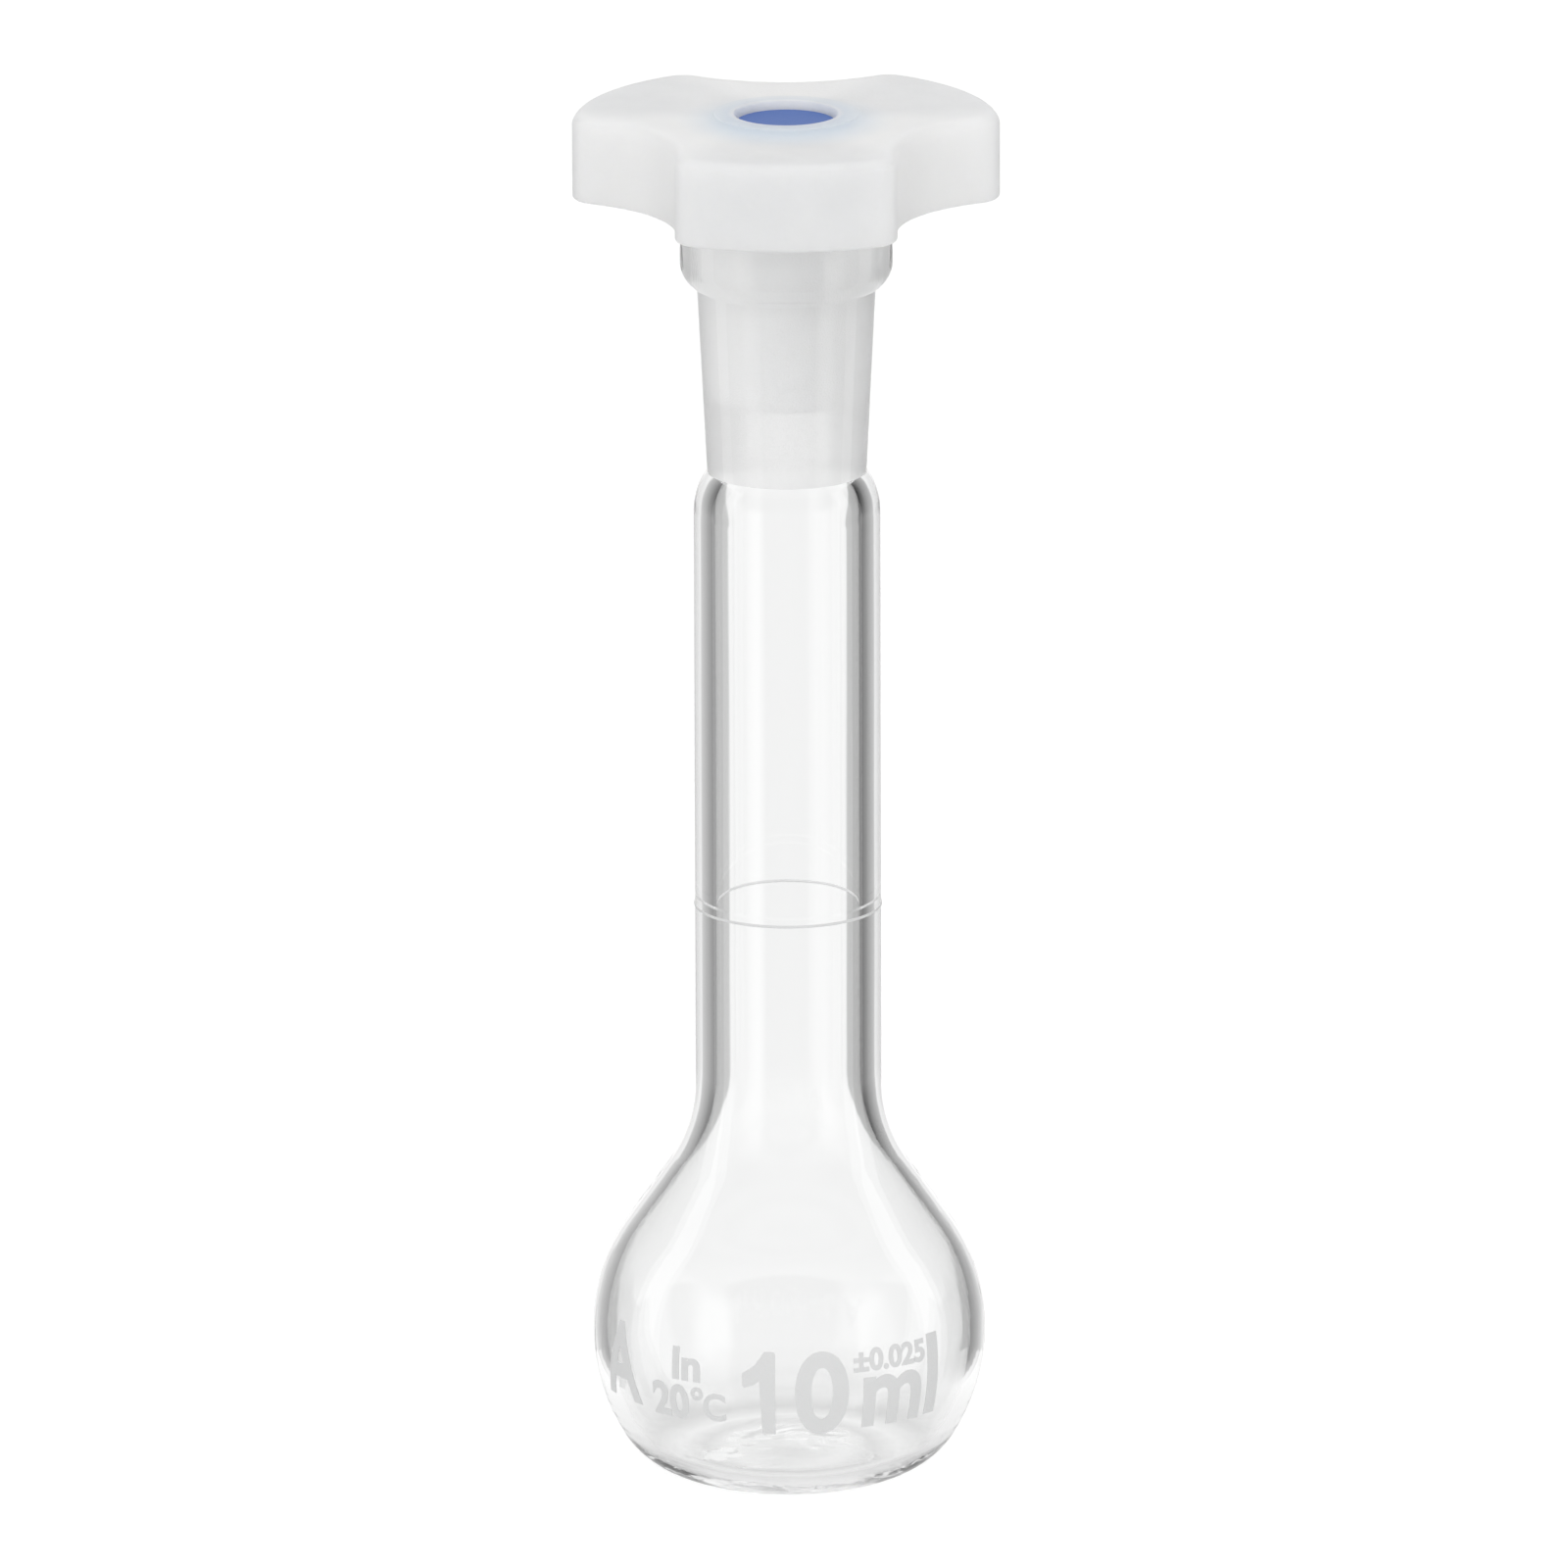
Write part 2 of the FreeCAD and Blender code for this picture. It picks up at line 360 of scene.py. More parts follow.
def through_glass(nodes, links):
    """A value of 1 for rays that come through glass, or mirrored in it."""
    path = nodes.new("ShaderNodeLightPath")
    refracted, mirrored = path.outputs["Is Transmission Ray"], path.outputs["Is Glossy Ray"]
    return math_of(nodes, links, "MAXIMUM", refracted, mirrored)


def bump(nodes, links, height, depth, shader):
    """Lets a height, from 0 to 1, raise the surface by a depth."""
    node = nodes.new("ShaderNodeBump")
    node.inputs["Strength"].default_value = 1.0
    node.inputs["Distance"].default_value = depth
    links.new(height, node.inputs["Height"])
    links.new(node.outputs["Normal"], shader.inputs["Normal"])


def let_light_through(nodes, links, shader, amount=1.0):
    """Lets an amount of the lamps' light shine through a piece."""
    path = nodes.new("ShaderNodeLightPath")
    clear = nodes.new("ShaderNodeBsdfTransparent")
    mix = nodes.new("ShaderNodeMixShader")
    links.new(ramp_of(nodes, links, path.outputs["Is Shadow Ray"], 0, 1, 0, amount), mix.inputs["Fac"])
    links.new(shader.outputs["BSDF"], mix.inputs[1])
    links.new(clear.outputs["BSDF"], mix.inputs[2])
    links.new(mix.outputs["Shader"], nodes["Material Output"].inputs["Surface"])


def clear_glass(glass):
    material, nodes, links, shader = new_material("clear_glass")
    shader.inputs["Base Color"].default_value = (*glass.tint, 1)
    shader.inputs["IOR"].default_value = 1.473
    shader.inputs["Transmission Weight"].default_value = 1.0
    shader.inputs["Roughness"].default_value = 0.0
    bump(nodes, links, noise(nodes, links, 1.6 * MM, 2, 0, 1, stretch=25), 0.003 * MM, shader)
    let_light_through(nodes, links, shader)
    return material


def ground_glass(glass):
    material, nodes, links, shader = new_material("ground_glass")
    shader.inputs["Base Color"].default_value = (0.98, 0.98, 0.98, 1)
    shader.inputs["IOR"].default_value = 1.1
    shader.inputs["Transmission Weight"].default_value = 0.38
    rough = glass.ground_roughness
    links.new(noise(nodes, links, 0.4 * MM, 4, rough - 0.06, rough + 0.06), shader.inputs["Roughness"])
    bump(nodes, links, noise(nodes, links, 0.12 * MM, 2, 0, 1), 0.01 * MM, shader)
    let_light_through(nodes, links, shader)
    return material


def fired_enamel(enamel, painted_inner_light=0.0):
    """Enamel, with a painted glow on the side that shows through the glass, standing in for light on its
    inner side.
    """
    material, nodes, links, shader = new_material("fired_enamel")
    shader.inputs["Base Color"].default_value = (*enamel.tint, 1)
    shader.inputs["Roughness"].default_value = 0.45
    bump(nodes, links, noise(nodes, links, 0.15 * MM, 3, 0, 1), 0.01 * MM, shader)
    # Painted light: a glow for rays that come through the glass or are mirrored in it
    glow = math_of(nodes, links, "MULTIPLY", through_glass(nodes, links), painted_inner_light)
    links.new(glow, shader.inputs["Emission Strength"])
    shader.inputs["Emission Color"].default_value = (1, 1, 1, 1)
    return material


def blend(nodes, links, amount, first, second):
    """Blends two colours, each a plain colour or another node's output, by an amount from 0 to 1."""
    node = nodes.new("ShaderNodeMix")
    node.data_type = "RGBA"
    for socket, value in ((node.inputs["A"], first), (node.inputs["B"], second)):
        if isinstance(value, bpy.types.NodeSocket):
            links.new(value, socket)
        else:
            socket.default_value = (*value, 1)
    links.new(amount, node.inputs["Factor"])
    return node.outputs["Result"]


def reach_of(nodes, links, x, y):
    """The distance that two sides of a right angle span."""
    squares = [math_of(nodes, links, "MULTIPLY", side, side) for side in (x, y)]
    return math_of(nodes, links, "SQRT", math_of(nodes, links, "ADD", *squares), 0)


def painted_disc_light(nodes, links, stopper):
    """How much of the disc's blue light is painted on the milky top, in place of light shining through it:
    most round the well, none far from it.
    """
    well = stopper.well_diameter / 2
    faded = stopper.ring_diameter / 2 + 3 * MM
    x, y, z = own_place(nodes, links)
    shifted = math_of(nodes, links, "ADD", y, stopper.painted_light_shift)
    near = ramp_of(nodes, links, reach_of(nodes, links, x, shifted), well, faded, 1, 0, smooth=True)
    outside = ramp_of(nodes, links, reach_of(nodes, links, x, y), well, well + 0.5 * MM, 0.3, 1)
    high = ramp_of(nodes, links, z, head_high.z - 2 * MM, head_high.z - MM, 0, 1)
    return math_of(nodes, links, "MULTIPLY", math_of(nodes, links, "MULTIPLY", near, outside), high)


def painted_scoop_light(nodes, links, stopper):
    """How much light is painted on the plastic in place of light through the thin walls: most in the
    middle of a scoop, none on a lobe.
    """
    x, y, _ = own_place(nodes, links)
    turn = math_of(nodes, links, "ARCTAN2", y, x)
    from_front = math_of(nodes, links, "SUBTRACT", turn, FRONT)
    lobe_turn = math_of(nodes, links, "MULTIPLY", from_front, stopper.lobe_count)
    on_lobe = math_of(nodes, links, "COSINE", lobe_turn, 0)
    return ramp_of(nodes, links, on_lobe, -0.7, 0.7, 1, 0, smooth=True)


def natural_polyethylene(stopper):
    material, nodes, links, shader = new_material("natural_polyethylene")
    clouds = noise(nodes, links, 5 * MM, 3, 0, 1)
    milk = blend(nodes, links, clouds, stopper.plastic_tint, stopper.cloud_tint)
    # Painted light: the scoops are painted lighter, for light through the thin walls
    walls = blend(nodes, links, painted_scoop_light(nodes, links, stopper), milk, stopper.painted_scoop_tint)
    # Painted light: blue round the well is painted on, for the disc's light through the milky top
    tint = blend(nodes, links, painted_disc_light(nodes, links, stopper), walls, stopper.painted_light_tint)
    links.new(tint, shader.inputs["Base Color"])
    shader.inputs["Subsurface Weight"].default_value = 1.0
    shader.inputs["Subsurface Radius"].default_value = (1.0, 1.0, 1.05)
    shader.inputs["Subsurface Scale"].default_value = 3.0 * MM
    shader.inputs["IOR"].default_value = 1.5
    links.new(noise(nodes, links, 1.2 * MM, 4, 0.36, 0.5), shader.inputs["Roughness"])
    bump(nodes, links, noise(nodes, links, 0.35 * MM, 4, 0, 1), 0.012 * MM, shader)
    let_light_through(nodes, links, shader, 0.7)
    return material


def blue_plastic(stopper):
    material, nodes, links, shader = new_material("blue_plastic")
    shader.inputs["Base Color"].default_value = (*stopper.disc_tint, 1)
    shader.inputs["Roughness"].default_value = 0.5
    shader.inputs["Specular IOR Level"].default_value = 0.15
    bump(nodes, links, noise(nodes, links, 0.3 * MM, 3, 0, 1), 0.01 * MM, shader)
    return material


# Glass flask

def joint_radius(glass, height):
    """Radius of the ground taper at a height."""
    return glass.mouth_diameter / 2 - (glass.rim_height - height) * glass.joint_taper / 2


def bulb_height(glass):
    """Height of the middle of the bulb."""
    return glass.heel_radius + (glass.bulb_diameter / 2 - glass.heel_radius) * math.sin(glass.heel_angle)


def heel_foot(glass, bulb, heel):
    """Radius at which a heel curve meets the floor under it."""
    return (bulb - heel) * math.cos(glass.heel_angle)


def vessel_outline(glass, bulb, heel, neck, foot, top):
    """Heel, bulb, cone and neck as one smooth line, from the floor up to a height in the neck."""
    slope = glass.cone_angle
    bulb_centre = (0, bulb_height(glass))
    heel_centre = on_circle(bulb_centre, bulb - heel, -glass.heel_angle)
    reach = bulb + foot - math.cos(slope) * (neck + foot)
    foot_centre = (neck + foot, bulb_centre[1] + reach / math.sin(slope))
    return joined(
        arc(heel_centre, heel, -math.pi / 2, -glass.heel_angle),
        arc(bulb_centre, bulb, -glass.heel_angle, slope),
        line(on_circle(bulb_centre, bulb, slope), on_circle(foot_centre, foot, math.pi + slope)),
        arc(foot_centre, foot, math.pi + slope, math.pi),
        line((neck, foot_centre[1]), (neck, top)),
    )


def glass_outside(glass):
    """Outer half section, from the middle of the base up to the rim."""
    bulb = glass.bulb_diameter / 2
    neck = glass.neck_diameter / 2
    standing_radius = heel_foot(glass, bulb, glass.heel_radius)
    shoulder_top = glass.rim_height - glass.ground_length + glass.shoulder_lag
    neck_top = shoulder_top - glass.shoulder_height
    socket_foot = (joint_radius(glass, shoulder_top) + glass.socket_wall, shoulder_top)
    bead_bottom = glass.rim_height - glass.bead_height
    bead_foot = (joint_radius(glass, bead_bottom) + glass.socket_wall, bead_bottom)
    bead_side = (glass.bead_diameter / 2, bead_bottom + glass.bead_shoulder_height)
    rim_side = (bead_side[0], glass.rim_height - glass.rim_round)
    rim_edge = (bead_side[0] - glass.rim_round, glass.rim_height)
    return joined(
        dome_arc((glass.push_up_radius, 0), glass.push_up_height)[::-1],
        line((glass.push_up_radius, 0), (standing_radius, 0)),
        vessel_outline(glass, bulb, glass.heel_radius, neck, glass.neck_foot_radius, neck_top),
        upright_arc((neck, neck_top), socket_foot),
        line(socket_foot, bead_foot),
        upright_arc(bead_side, bead_foot)[::-1],
        line(bead_side, rim_side),
        arc((rim_edge[0], rim_side[1]), glass.rim_round, 0, math.pi / 2),
    )


# Flow marks that blowing leaves on the floor inside, and the dent of a tool
FLOW_HEIGHT = 0.12 * MM
FLOW_LENGTH = 2.6 * MM
FLOW_RADIUS = 10 * MM
FLOW_TOP = 5 * MM
FLOW_PITCH = 0.35 * MM
DENT_PLACE = Vector((4.7 * MM, 7.6 * MM))
DENT_RADIUS = 0.5 * MM
DENT_DEPTH = 0.25 * MM


def flow_height(point):
    """How far the floor inside stands up at a point, from swirled flow marks and the dent."""
    place = point.to_2d()
    fade = max(0, 1 - (place.length / FLOW_RADIUS) ** 4)
    swirl = Matrix.Rotation(place.length / FLOW_LENGTH * 0.5, 2)
    spot = (swirl @ place).to_3d() / FLOW_LENGTH
    marks = wave.noise(spot) + 0.4 * wave.noise(spot * 2.7)
    dent = math.exp(-((place - DENT_PLACE).length / DENT_RADIUS) ** 2)
    return fade * (FLOW_HEIGHT * marks - DENT_DEPTH * dent)


def finely(outline):
    """The same outline with points close together where it has flow marks."""
    runs = []
    for start, end in zip(outline, outline[1:]):
        runs.append(line(start, end, FLOW_PITCH if start[1] < FLOW_TOP else LINE_STEP))
    return joined(*runs)


def glass_inside(glass):
    """Inner half section, from the middle of the floor up to the lip."""
    bulb = glass.bulb_diameter / 2 - glass.bulb_wall
    heel_sine = math.sin(glass.heel_angle)
    heel = (bulb_height(glass) - bulb * heel_sine - glass.base_thickness) / (1 - heel_sine)
    floor_edge = (heel_foot(glass, bulb, heel), glass.base_thickness)
    bore = glass.neck_diameter / 2 - glass.neck_wall
    ground_foot_height = glass.rim_height - glass.ground_length
    bore_top = ground_foot_height - glass.bore_shoulder_height
    ground_foot = (joint_radius(glass, ground_foot_height), ground_foot_height)
    ground_top_height = glass.rim_height - glass.lip_chamfer
    ground_top = (joint_radius(glass, ground_top_height), ground_top_height)
    lip = (ground_top[0] + glass.lip_chamfer, glass.rim_height)
    floor = dome_arc(floor_edge, glass.base_thickness + glass.push_up_height)[::-1]
    vessel = vessel_outline(glass, bulb, heel, bore, glass.neck_foot_radius + glass.neck_wall, bore_top)
    return joined(
        finely(floor),
        finely(vessel),
        upright_arc((bore, bore_top), ground_foot),
        line(ground_foot, ground_top),
        line(ground_top, lip),
    )


class FLASK_OT_glass(bpy.types.Operator):
    """Build the blown glass, with the inside of its socket ground matt"""

    bl_idname = "flask.glass"
    bl_label = "Glass"

    def execute(self, context):
        glass = context.scene.flask_glass
        turns = even_turns(GLASS_SEGMENTS)
        inner_rings = turned(glass_inside(glass)[::-1], turns)
        for ring in inner_rings:
            for point in ring:
                if point.z < FLOW_TOP:
                    point.z += flow_height(point)
        rings = turned(glass_outside(glass), turns) + inner_rings
        piece = skin("flask_glass", rings, "flask", "glass_flask")
        piece.data.materials.append(clear_glass(glass))
        piece.data.materials.append(ground_glass(glass))
        ground_foot_height = glass.rim_height - glass.ground_length
        leeway = 0.1 * MM
        for face in piece.data.polygons:
            reach = math.hypot(face.center.x, face.center.y)
            inner_side = reach < joint_radius(glass, face.center.z) + leeway
            if inner_side and face.center.z > ground_foot_height:
                face.material_index = 1
        return {"FINISHED"}


# Enamel line and print

# How deep the enamel has sunk into the glass
ENAMEL_SUNK = 0.01 * MM


class FLASK_OT_enamel_line(bpy.types.Operator):
    """Build the enamel graduation line round the neck"""

    bl_idname = "flask.enamel_line"
    bl_label = "Graduation line"

    def execute(self, context):
        glass = context.scene.flask_glass
        enamel = context.scene.flask_enamel
        neck = glass.neck_diameter / 2
        half = enamel.line_width / 2
        crown_turns = [math.pi * (step / LINE_CROWN_STEPS - 0.5) for step in range(LINE_CROWN_STEPS + 1)]
        crown = [
            (neck + enamel.line_thickness * math.cos(turn), enamel.line_height + half * math.sin(turn))
            for turn in crown_turns
        ]
        foot = neck - ENAMEL_SUNK
        outline = [(foot, crown[0][1]), *crown, (foot, crown[-1][1]), (foot, crown[0][1])]
        rings = turned(outline, even_turns(GLASS_SEGMENTS))
        piece = skin("graduation_line", rings, "flask", "graduation_ring")
        weld(piece)
        piece.data.materials.append(fired_enamel(enamel, enamel.painted_line_light))
        return {"FINISHED"}


def weld(piece):
    """Joins points of a piece that lie in the same place."""
    shape = bmesh.new()
    shape.from_mesh(piece.data)
    bmesh.ops.remove_doubles(shape, verts=shape.verts, dist=SAME_PLACE)
    shape.to_mesh(piece.data)
    shape.free()


# The print: each text with its left, right, bottom and top in millimetres along the surface of the bulb,
# from the front of its middle
PRINT = (
    ("1", -3.35, -1.0, -4.03, 2.15),
    ("0", 0.37, 4.25, -4.03, 2.15),
    ("m", 5.35, 10.2, -3.8, 0.05),
    ("l", 10.75, 11.8, -3.7, 2.3),
    ("±0.025", 4.6, 10.5, 0.42, 2.1),
    ("In", -8.8, -6.5, -0.5, 1.9),
    ("20", -10.7, -7.5, -3.5, -0.85),
    ("°", -7.3, -6.3, -1.85, -0.85),
    ("C", -6.35, -4.6, -3.3, -1.15),
    ("A", -16.5, -12.0, -3.2, 2.5),
)

# The font's figure one is a bare stroke, so this one has its own outline, in a box of one by one
FIGURE_ONE = (
    (0.59, 0), (1, 0), (1, 0.97), (0.95, 1), (0.66, 1), (0.4, 0.855), (0.2, 0.79),
    (0, 0.74), (0, 0.59), (0.05, 0.57), (0.34, 0.605), (0.52, 0.66),
)


def font_shape(text, boldness):
    """Flat letters as a shape, their strokes made bolder by a share of the font's size."""
    curve = bpy.data.curves.new("letters", "FONT")
    curve.body = text
    curve.offset = boldness
    holder = new_object("letters", curve)
    mesh = bpy.data.meshes.new_from_object(holder.evaluated_get(bpy.context.evaluated_depsgraph_get()))
    bpy.data.objects.remove(holder)
    bpy.data.curves.remove(curve)
    shape = bmesh.new()
    shape.from_mesh(mesh)
    bpy.data.meshes.remove(mesh)
    return shape


def figure_one():
    shape = bmesh.new()
    shape.faces.new([shape.verts.new((x, y, 0)) for x, y in FIGURE_ONE])
    shape.normal_update()
    bmesh.ops.triangulate(shape, faces=shape.faces)
    return shape


def letters(text, left, right, bottom, top):
    """Flat letters that fill a box, cut finely enough to bend round the bulb."""
    boldness = 0.025 if len(text) == 1 else 0.038
    shape = figure_one() if text == "1" else font_shape(text, boldness)
    low_x, high_x = min(v.co.x for v in shape.verts), max(v.co.x for v in shape.verts)
    low_y, high_y = min(v.co.y for v in shape.verts), max(v.co.y for v in shape.verts)
    for vert in shape.verts:
        vert.co.x = left + (vert.co.x - low_x) / (high_x - low_x) * (right - left)
        vert.co.y = bottom + (vert.co.y - low_y) / (high_y - low_y) * (top - bottom)
        vert.co.z = 0
    bmesh.ops.remove_doubles(shape, verts=shape.verts, dist=1e-4)
    pitch = 0.4
    for low, high, normal in ((left, right, (1, 0, 0)), (bottom, top, (0, 1, 0))):
        for cut in range(1, math.ceil((high - low) / pitch)):
            place = Vector(normal) * (low + cut * pitch)
            geometry = [*shape.verts, *shape.edges, *shape.faces]
            bmesh.ops.bisect_plane(shape, geom=geometry, plane_co=place, plane_no=normal)
    return shape


def wrap_on_bulb(shape, bulb, middle, thickness):
    """Lays flat letters, in millimetres, on the bulb and gives them a thickness."""
    raised = set(bmesh.ops.extrude_face_region(shape, geom=shape.faces[:])["geom"])
    for vert in shape.verts:
        around, along = vert.co.x * MM / bulb, vert.co.y * MM / bulb
        radius = bulb + thickness if vert in raised else bulb - ENAMEL_SUNK
        flat_radius = radius * math.cos(along)
        x, y = on_circle((0, 0), flat_radius, FRONT + around)
        vert.co = middle + Vector((x, y, radius * math.sin(along)))
    bmesh.ops.recalc_face_normals(shape, faces=shape.faces)


class FLASK_OT_enamel_print(bpy.types.Operator):
    """Print the capacity and its usual notes on the bulb"""

    bl_idname = "flask.enamel_print"
    bl_label = "Print"

    def execute(self, context):
        glass = context.scene.flask_glass
        enamel = context.scene.flask_enamel
        material = fired_enamel(enamel)
        bulb = glass.bulb_diameter / 2
        middle = Vector((0, 0, bulb_height(glass)))
        for number, (text, *box) in enumerate(PRINT, 1):
            shape = letters(text, *box)
            wrap_on_bulb(shape, bulb, middle, enamel.print_thickness)
            piece = finished(f"print_{number}", shape, "flask")
            piece.data.materials.append(material)
        return {"FINISHED"}


# Stopper and coloured disc

LOBE_STEPS = 28
CORNER_STEPS = 8
SCOOP_STEPS = 28


def lobed_ring(stopper, disc, scoop, corner, height):
    """A disc with a round scoop between each two lobes, and rounded lobe corners."""
    scoop_distance = stopper.valley_radius + stopper.scoop_radius
    corner_distance = disc - corner
    cosine = corner_distance**2 + scoop_distance**2 - (scoop + corner) ** 2
    corner_turn = math.acos(cosine / (2 * corner_distance * scoop_distance))
    step = FULL_TURN / stopper.lobe_count
    ring = []

    def sweep(centre, radius, first, last, steps):
        for index in range(steps):
            x, y = on_circle(centre, radius, first + (last - first) * index / steps)
            ring.append(Vector((x, y, height)))

    for index in range(stopper.lobe_count):
        valley = FRONT + step * (index + 0.5)
        scoop_centre = on_circle((0, 0), scoop_distance, valley)
        before = on_circle((0, 0), corner_distance, valley - corner_turn)
        after = on_circle((0, 0), corner_distance, valley + corner_turn)
        lean = math.atan2(before[1] - scoop_centre[1], before[0] - scoop_centre[0])
        into_scoop = valley + math.pi
        opening = math.remainder(into_scoop - lean, FULL_TURN)
        lobe_start = valley - step + corner_turn
        lobe_end = valley - corner_turn
        turn_in = math.remainder(lean + math.pi - lobe_end, FULL_TURN)
        sweep((0, 0), disc, lobe_start, lobe_end, LOBE_STEPS)
        sweep(before, corner, lobe_end, lobe_end + turn_in, CORNER_STEPS)
        sweep(scoop_centre, scoop, lean, lean + 2 * opening, SCOOP_STEPS)
        sweep(after, corner, valley + corner_turn - turn_in, valley + corner_turn, CORNER_STEPS)
    return ring


def head_ring(stopper, inset, height):
    """The outline of the head, drawn in by an inset."""
    return lobed_ring(
        stopper,
        stopper.head_diameter / 2 - inset,
        stopper.scoop_radius + inset,
        stopper.lobe_corner_radius - inset,
        height,
    )


def core_ring(stopper, height):
    """The outline of the hollow under the head."""
    wall = stopper.head_wall
    return lobed_ring(
        stopper,
        stopper.head_diameter / 2 - wall,
        stopper.scoop_radius + wall,
        stopper.core_corner_radius,
        height,
    )


def between(first, last, steps):
    """Rings spread between two rings, without the two themselves."""
    spread = [step / steps for step in range(1, steps)]
    return [[a.lerp(b, s) for a, b in zip(first, last)] for s in spread]


def quarter(steps):
    return [math.pi / 2 * step / steps for step in range(steps + 1)]


def head_top_height(glass, stopper):
    return glass.rim_height + stopper.head_gap + stopper.head_height


def well_floor_height(glass, stopper):
    ring_top = head_top_height(glass, stopper) + stopper.ring_height
    return ring_top - stopper.insert_recess - stopper.insert_thickness


def plug_radius(glass, stopper, height):
    return joint_radius(glass, height) - stopper.joint_clearance


def well_outline(glass, stopper):
    """Half section of the well and the raised ring round it, from the middle of the well outwards."""
    floor = well_floor_height(glass, stopper)
    head_top = head_top_height(glass, stopper)
    ring_top = head_top + stopper.ring_height
    well = stopper.well_diameter / 2
    ring = stopper.ring_diameter / 2
    ring_edge = ring - stopper.ring_slope
    lip = 0.1 * MM
    return joined(
        line((0, floor), (well, floor)),
        line((well, floor), (well, ring_top - lip)),
        arc((well + lip, ring_top - lip), lip, math.pi, math.pi / 2),
        arc((ring_edge - lip, ring_top - lip), lip, math.pi / 2, math.pi / 4),
        line((ring_edge, ring_top - lip), (ring, head_top)),
    )


def head_rings(glass, stopper):
    """Rings down the outside of the head, with its edges rounded, and up the hollow under it."""
    top = head_top_height(glass, stopper)
    bottom = top - stopper.head_height
    rings = []
    for turn in quarter(8):
        inset = stopper.top_round * (1 - math.sin(turn))
        rings.append(head_ring(stopper, inset, top - stopper.top_round * (1 - math.cos(turn))))
    for turn in quarter(6):
        inset = stopper.bottom_round * (1 - math.cos(turn))
        rings.append(head_ring(stopper, inset, bottom + stopper.bottom_round * (1 - math.sin(turn))))
    rings.append(core_ring(stopper, bottom))
    rings.append(core_ring(stopper, top - stopper.head_skin))
    return rings


def plug_outline(glass, stopper):
    """Half section of the hollow plug, from its root round its end to the top of its hollow."""
    root = head_top_height(glass, stopper) - stopper.head_skin
    end = glass.rim_height - stopper.plug_depth
    rounding = stopper.plug_end_round
    end_radius = plug_radius(glass, stopper, end)
    side_end = (plug_radius(glass, stopper, end + rounding), end + rounding)
    hollow_top = well_floor_height(glass, stopper) - stopper.septum
    hollow_end = (end_radius - stopper.plug_wall, end)
    hollow_edge = (plug_radius(glass, stopper, hollow_top) - stopper.plug_wall, hollow_top)
    return joined(
        line((plug_radius(glass, stopper, root), root), side_end),
        arc((end_radius - rounding, end + rounding), rounding, 0, -math.pi / 2),
        line((end_radius - rounding, end), hollow_end),
        line(hollow_end, hollow_edge),
        line(hollow_edge, (0, hollow_top)),
    )


class FLASK_OT_stopper(bpy.types.Operator):
    """Build the hollow stopper with its lobed head"""

    bl_idname = "flask.stopper"
    bl_label = "Stopper"

    def execute(self, context):
        glass = context.scene.flask_glass
        stopper = context.scene.flask_stopper
        turns = [math.atan2(point.y, point.x) for point in head_ring(stopper, 0, 0)]
        well = turned(well_outline(glass, stopper), turns)
        head = head_rings(glass, stopper)
        plug = turned(plug_outline(glass, stopper), turns)
        rings = [*well, *between(well[-1], head[0], 8), *head, *between(head[-1], plug[0], 6), *plug]
        piece = skin("stopper_moulding", rings, "stopper", "stopper")
        piece.data.materials.append(natural_polyethylene(stopper))
        return {"FINISHED"}


class FLASK_OT_disc(bpy.types.Operator):
    """Build the coloured disc in the top of the stopper"""

    bl_idname = "flask.disc"
    bl_label = "Coloured disc"

    def execute(self, context):
        stopper = context.scene.flask_stopper
        radius = stopper.well_diameter / 2 - stopper.insert_clearance
        low, high = disc_low.z, disc_high.z
        edge = 0.2 * MM
        dish = 0.05 * MM
        outline = joined(
            line((0, low), (radius, low)),
            line((radius, low), (radius, high - edge)),
            arc((radius - edge, high - edge), edge, 0, math.pi / 2),
            line((radius - edge, high), (0, high - dish)),
        )
        rings = turned(outline, even_turns(DISC_SEGMENTS))
        piece = skin("coloured_disc", rings, "insert", "colour_insert")
        piece.data.materials.append(blue_plastic(stopper))
        return {"FINISHED"}


# Stage

def sheet_mesh(name, width, depth):
    """A flat rectangle in its own XY plane."""
    shape = bmesh.new()
    sides = ((-0.5, -0.5), (0.5, -0.5), (0.5, 0.5), (-0.5, 0.5))
    shape.faces.new([shape.verts.new((x * width, y * depth, 0)) for x, y in sides])
    panel = mesh_object(name, shape)
    return panel


def seen_rays(nodes, links):
    """A value of 1 for rays that see the background, straight from the camera or by way of the glass."""
    path = nodes.new("ShaderNodeLightPath")
    return math_of(nodes, links, "MAXIMUM", path.outputs["Is Camera Ray"], through_glass(nodes, links))


def white_world(stage):
    """A world that looks white and lights surfaces with the ambient light."""
    world = bpy.data.worlds.new("studio")
    bpy.context.scene.world = world
    world.use_nodes = True
    nodes, links = world.node_tree.nodes, world.node_tree.links
    background = nodes["Background"]
    background.inputs["Color"].default_value = (1, 1, 1, 1)
    strength = ramp_of(nodes, links, seen_rays(nodes, links), 0, 1, stage.ambient, 1.0)
    links.new(strength, background.inputs["Strength"])


def white_floor():
    """A pale floor that keeps shadows; the glass shows the screens in its place."""
    floor = sheet_mesh("floor", 6, 6)
    floor.location.z = -0.02 * MM
    material, nodes, links, shader = new_material("floor")
    shader.inputs["Base Color"].default_value = (0.8, 0.8, 0.8, 1)
    shader.inputs["Roughness"].default_value = 0.9
    shader.inputs["Emission Color"].default_value = (1, 1, 1, 1)
    glow = math_of(nodes, links, "MULTIPLY", seen_rays(nodes, links), 0.45)
    links.new(glow, shader.inputs["Emission Strength"])
    floor.data.materials.append(material)
    floor.visible_transmission = False
    floor.visible_glossy = False


